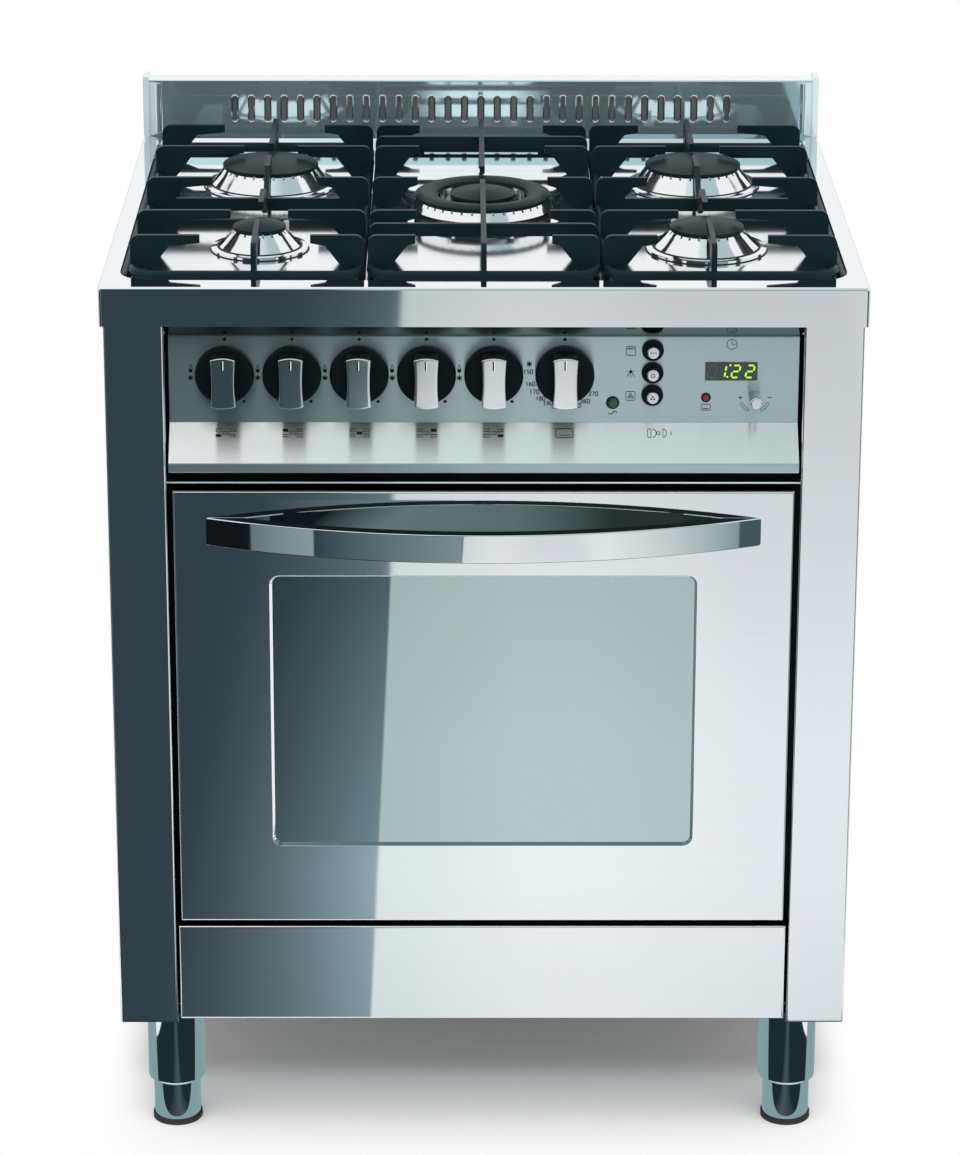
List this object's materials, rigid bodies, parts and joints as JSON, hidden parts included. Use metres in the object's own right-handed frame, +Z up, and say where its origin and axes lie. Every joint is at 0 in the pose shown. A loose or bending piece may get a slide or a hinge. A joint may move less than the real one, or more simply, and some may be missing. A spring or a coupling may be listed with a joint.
{
  "type": "range cooker",
  "caption": "Free-standing stainless range cooker with a gas hob, control fascia, fan oven behind a drop-down door with a bowed handle, storage drawer and adjustable feet.",
  "frame": {"origin": "on the floor, under the middle of the box round the whole cooker", "axes": "+Z up, -Y towards the cook, +X to the cook's right"},
  "size_m": [0.7, 0.647, 0.918],
  "materials": {
    "polished_steel": "mirror-polished stainless steel",
    "plain_steel": "plain zinc-grey steel sheet",
    "black_enamel": "black vitreous enamel",
    "chrome_trim": "bright chrome",
    "chrome_wire": "chromed wire",
    "knob_black": "satin black plastic",
    "knob_metal": "satin metal with bright edges",
    "oven_glass": "tinted reflecting oven glass",
    "pilot_lens": "clear coloured lamp lens",
    "clock_black": "dark display behind a clear pane",
    "burner_alloy": "turned aluminium",
    "burner_cap": "matt black enamelled cap",
    "cast_grate": "matt black enamelled steel",
    "ceramic_white": "white glazed ceramic",
    "tap_brass": "plain brass",
    "gas_steel": "zinc-plated steel pipe",
    "insulation_wool": "mineral wool blanket",
    "seal_rubber": "black silicone seal",
    "heater_rod": "heat-darkened steel sheath",
    "motor_grey": "grey motor casing",
    "terminal_plastic": "pale moulded plastic"
  },
  "bodies": {
    "cooker": {"hob_top": "polished_steel", "back_guard": "polished_steel", "side_panel_left": "polished_steel", "side_panel_right": "polished_steel", "control_panel": "polished_steel", "front_rails": "polished_steel", "rear_panel": "plain_steel", "base_pan": "plain_steel", "hinge_arms": "plain_steel", "rear_screws": "plain_steel", "fan_baffle": "plain_steel", "oven_burner": "plain_steel", "oven_front_frame": "black_enamel", "oven_cavity": "black_enamel", "leg_sleeves": "chrome_trim", "rack_ladders": "chrome_wire", "switch_bodies": "knob_black", "oven_lamp": "oven_glass", "pilot_lamps": "pilot_lens", "clock_module": "clock_black", "burner_bodies": "burner_alloy", "burner_caps": "burner_cap", "spark_plugs": "ceramic_white", "gas_taps": "tap_brass", "gas_pipes": "gas_steel", "oven_insulation": "insulation_wool", "door_gasket": "seal_rubber", "grill_element": "heater_rod", "fan_motor": "motor_grey", "mains_terminal_box": "terminal_plastic"},
    "oven_door": {"door_skin": "polished_steel", "door_window": "oven_glass", "door_inner_panel": "black_enamel", "door_inner_glass": "oven_glass", "door_handle": "chrome_trim", "door_hinge_pivots": "plain_steel"},
    "drawer": {"drawer_front": "polished_steel", "drawer_tray": "plain_steel"},
    "front_left_spindle": {"front_left_knob_collar": "knob_black"},
    "front_left_knob": {"front_left_knob_grip": "knob_metal"},
    "rear_left_spindle": {"rear_left_knob_collar": "knob_black"},
    "rear_left_knob": {"rear_left_knob_grip": "knob_metal"},
    "centre_spindle": {"centre_knob_collar": "knob_black"},
    "centre_knob": {"centre_knob_grip": "knob_metal"},
    "rear_right_spindle": {"rear_right_knob_collar": "knob_black"},
    "rear_right_knob": {"rear_right_knob_grip": "knob_metal"},
    "front_right_spindle": {"front_right_knob_collar": "knob_black"},
    "front_right_knob": {"front_right_knob_grip": "knob_metal"},
    "oven_spindle": {"oven_knob_collar": "knob_black"},
    "oven_knob": {"oven_knob_grip": "knob_metal"},
    "grill_button": {"grill_button": "knob_metal"},
    "lamp_button": {"lamp_button": "knob_metal"},
    "fan_button": {"fan_button": "knob_metal"},
    "timer_knob": {"timer_knob": "knob_metal"},
    "oven_rack": {"oven_rack": "chrome_wire"},
    "fan": {"fan_blade": "plain_steel"},
    "left_grate": {"left_grate": "cast_grate"},
    "centre_grate": {"centre_grate": "cast_grate"},
    "right_grate": {"right_grate": "cast_grate"},
    "feet": {"feet": "chrome_trim"}
  },
  "joints": [
    {"name": "door_hinge", "type": "hinge", "parent": "cooker", "child": "oven_door", "pos_m": [0, -0.2565, 0.242], "axis": [1, 0, 0], "range_deg": [0, 90], "stiffness_Nm_per_rad": 4, "springref_deg": -28.65},
    {"name": "drawer_slide", "type": "slide", "parent": "cooker", "child": "drawer", "axis": [0, -1, 0], "range_m": [0, 0.3]},
    {"name": "front_left_push", "type": "slide", "parent": "cooker", "child": "front_left_spindle", "axis": [0, 1, 0], "range_m": [0, 0.004], "stiffness_N_per_m": 2000},
    {"name": "front_left_turn", "type": "hinge", "parent": "front_left_spindle", "child": "front_left_knob", "pos_m": [-0.237, -0.2565, 0.769], "axis": [0, -1, 0], "range_deg": [0, 212]},
    {"name": "rear_left_push", "type": "slide", "parent": "cooker", "child": "rear_left_spindle", "axis": [0, 1, 0], "range_m": [0, 0.004], "stiffness_N_per_m": 2000},
    {"name": "rear_left_turn", "type": "hinge", "parent": "rear_left_spindle", "child": "rear_left_knob", "pos_m": [-0.1755, -0.2565, 0.769], "axis": [0, -1, 0], "range_deg": [0, 212]},
    {"name": "centre_push", "type": "slide", "parent": "cooker", "child": "centre_spindle", "axis": [0, 1, 0], "range_m": [0, 0.004], "stiffness_N_per_m": 2000},
    {"name": "centre_turn", "type": "hinge", "parent": "centre_spindle", "child": "centre_knob", "pos_m": [-0.114, -0.2565, 0.769], "axis": [0, -1, 0], "range_deg": [0, 212]},
    {"name": "rear_right_push", "type": "slide", "parent": "cooker", "child": "rear_right_spindle", "axis": [0, 1, 0], "range_m": [0, 0.004], "stiffness_N_per_m": 2000},
    {"name": "rear_right_turn", "type": "hinge", "parent": "rear_right_spindle", "child": "rear_right_knob", "pos_m": [-0.0525, -0.2565, 0.769], "axis": [0, -1, 0], "range_deg": [0, 212]},
    {"name": "front_right_push", "type": "slide", "parent": "cooker", "child": "front_right_spindle", "axis": [0, 1, 0], "range_m": [0, 0.004], "stiffness_N_per_m": 2000},
    {"name": "front_right_turn", "type": "hinge", "parent": "front_right_spindle", "child": "front_right_knob", "pos_m": [0.009, -0.2565, 0.769], "axis": [0, -1, 0], "range_deg": [0, 212]},
    {"name": "oven_push", "type": "slide", "parent": "cooker", "child": "oven_spindle", "axis": [0, 1, 0], "range_m": [0, 0.004], "stiffness_N_per_m": 2000},
    {"name": "oven_turn", "type": "hinge", "parent": "oven_spindle", "child": "oven_knob", "pos_m": [0.074, -0.2565, 0.769], "axis": [0, -1, 0], "range_deg": [0, 240]},
    {"name": "grill_button_push", "type": "slide", "parent": "cooker", "child": "grill_button", "axis": [0, 1, 0], "range_m": [0, 0.003], "stiffness_N_per_m": 600},
    {"name": "lamp_button_push", "type": "slide", "parent": "cooker", "child": "lamp_button", "axis": [0, 1, 0], "range_m": [0, 0.003], "stiffness_N_per_m": 600},
    {"name": "fan_button_push", "type": "slide", "parent": "cooker", "child": "fan_button", "axis": [0, 1, 0], "range_m": [0, 0.003], "stiffness_N_per_m": 600},
    {"name": "timer_turn", "type": "hinge", "parent": "cooker", "child": "timer_knob", "pos_m": [0.2487, -0.2565, 0.746], "axis": [0, -1, 0], "range_deg": [-30, 30], "stiffness_Nm_per_rad": 0.05},
    {"name": "rack_slide", "type": "slide", "parent": "cooker", "child": "oven_rack", "axis": [0, -1, 0], "range_m": [0, 0.015]},
    {"name": "fan_spin", "type": "hinge", "parent": "cooker", "child": "fan", "pos_m": [0, 0.1937, 0.435], "axis": [0, 1, 0], "continuous": true},
    {"name": "left_grate_lift", "type": "slide", "parent": "cooker", "child": "left_grate", "axis": [0, 0, 1], "range_m": [0, 0.12]},
    {"name": "centre_grate_lift", "type": "slide", "parent": "cooker", "child": "centre_grate", "axis": [0, 0, 1], "range_m": [0, 0.12]},
    {"name": "right_grate_lift", "type": "slide", "parent": "cooker", "child": "right_grate", "axis": [0, 0, 1], "range_m": [0, 0.12]},
    {"name": "feet_height", "type": "slide", "parent": "cooker", "child": "feet", "axis": [0, 0, -1], "range_m": [0, 0.045]}
  ]
}
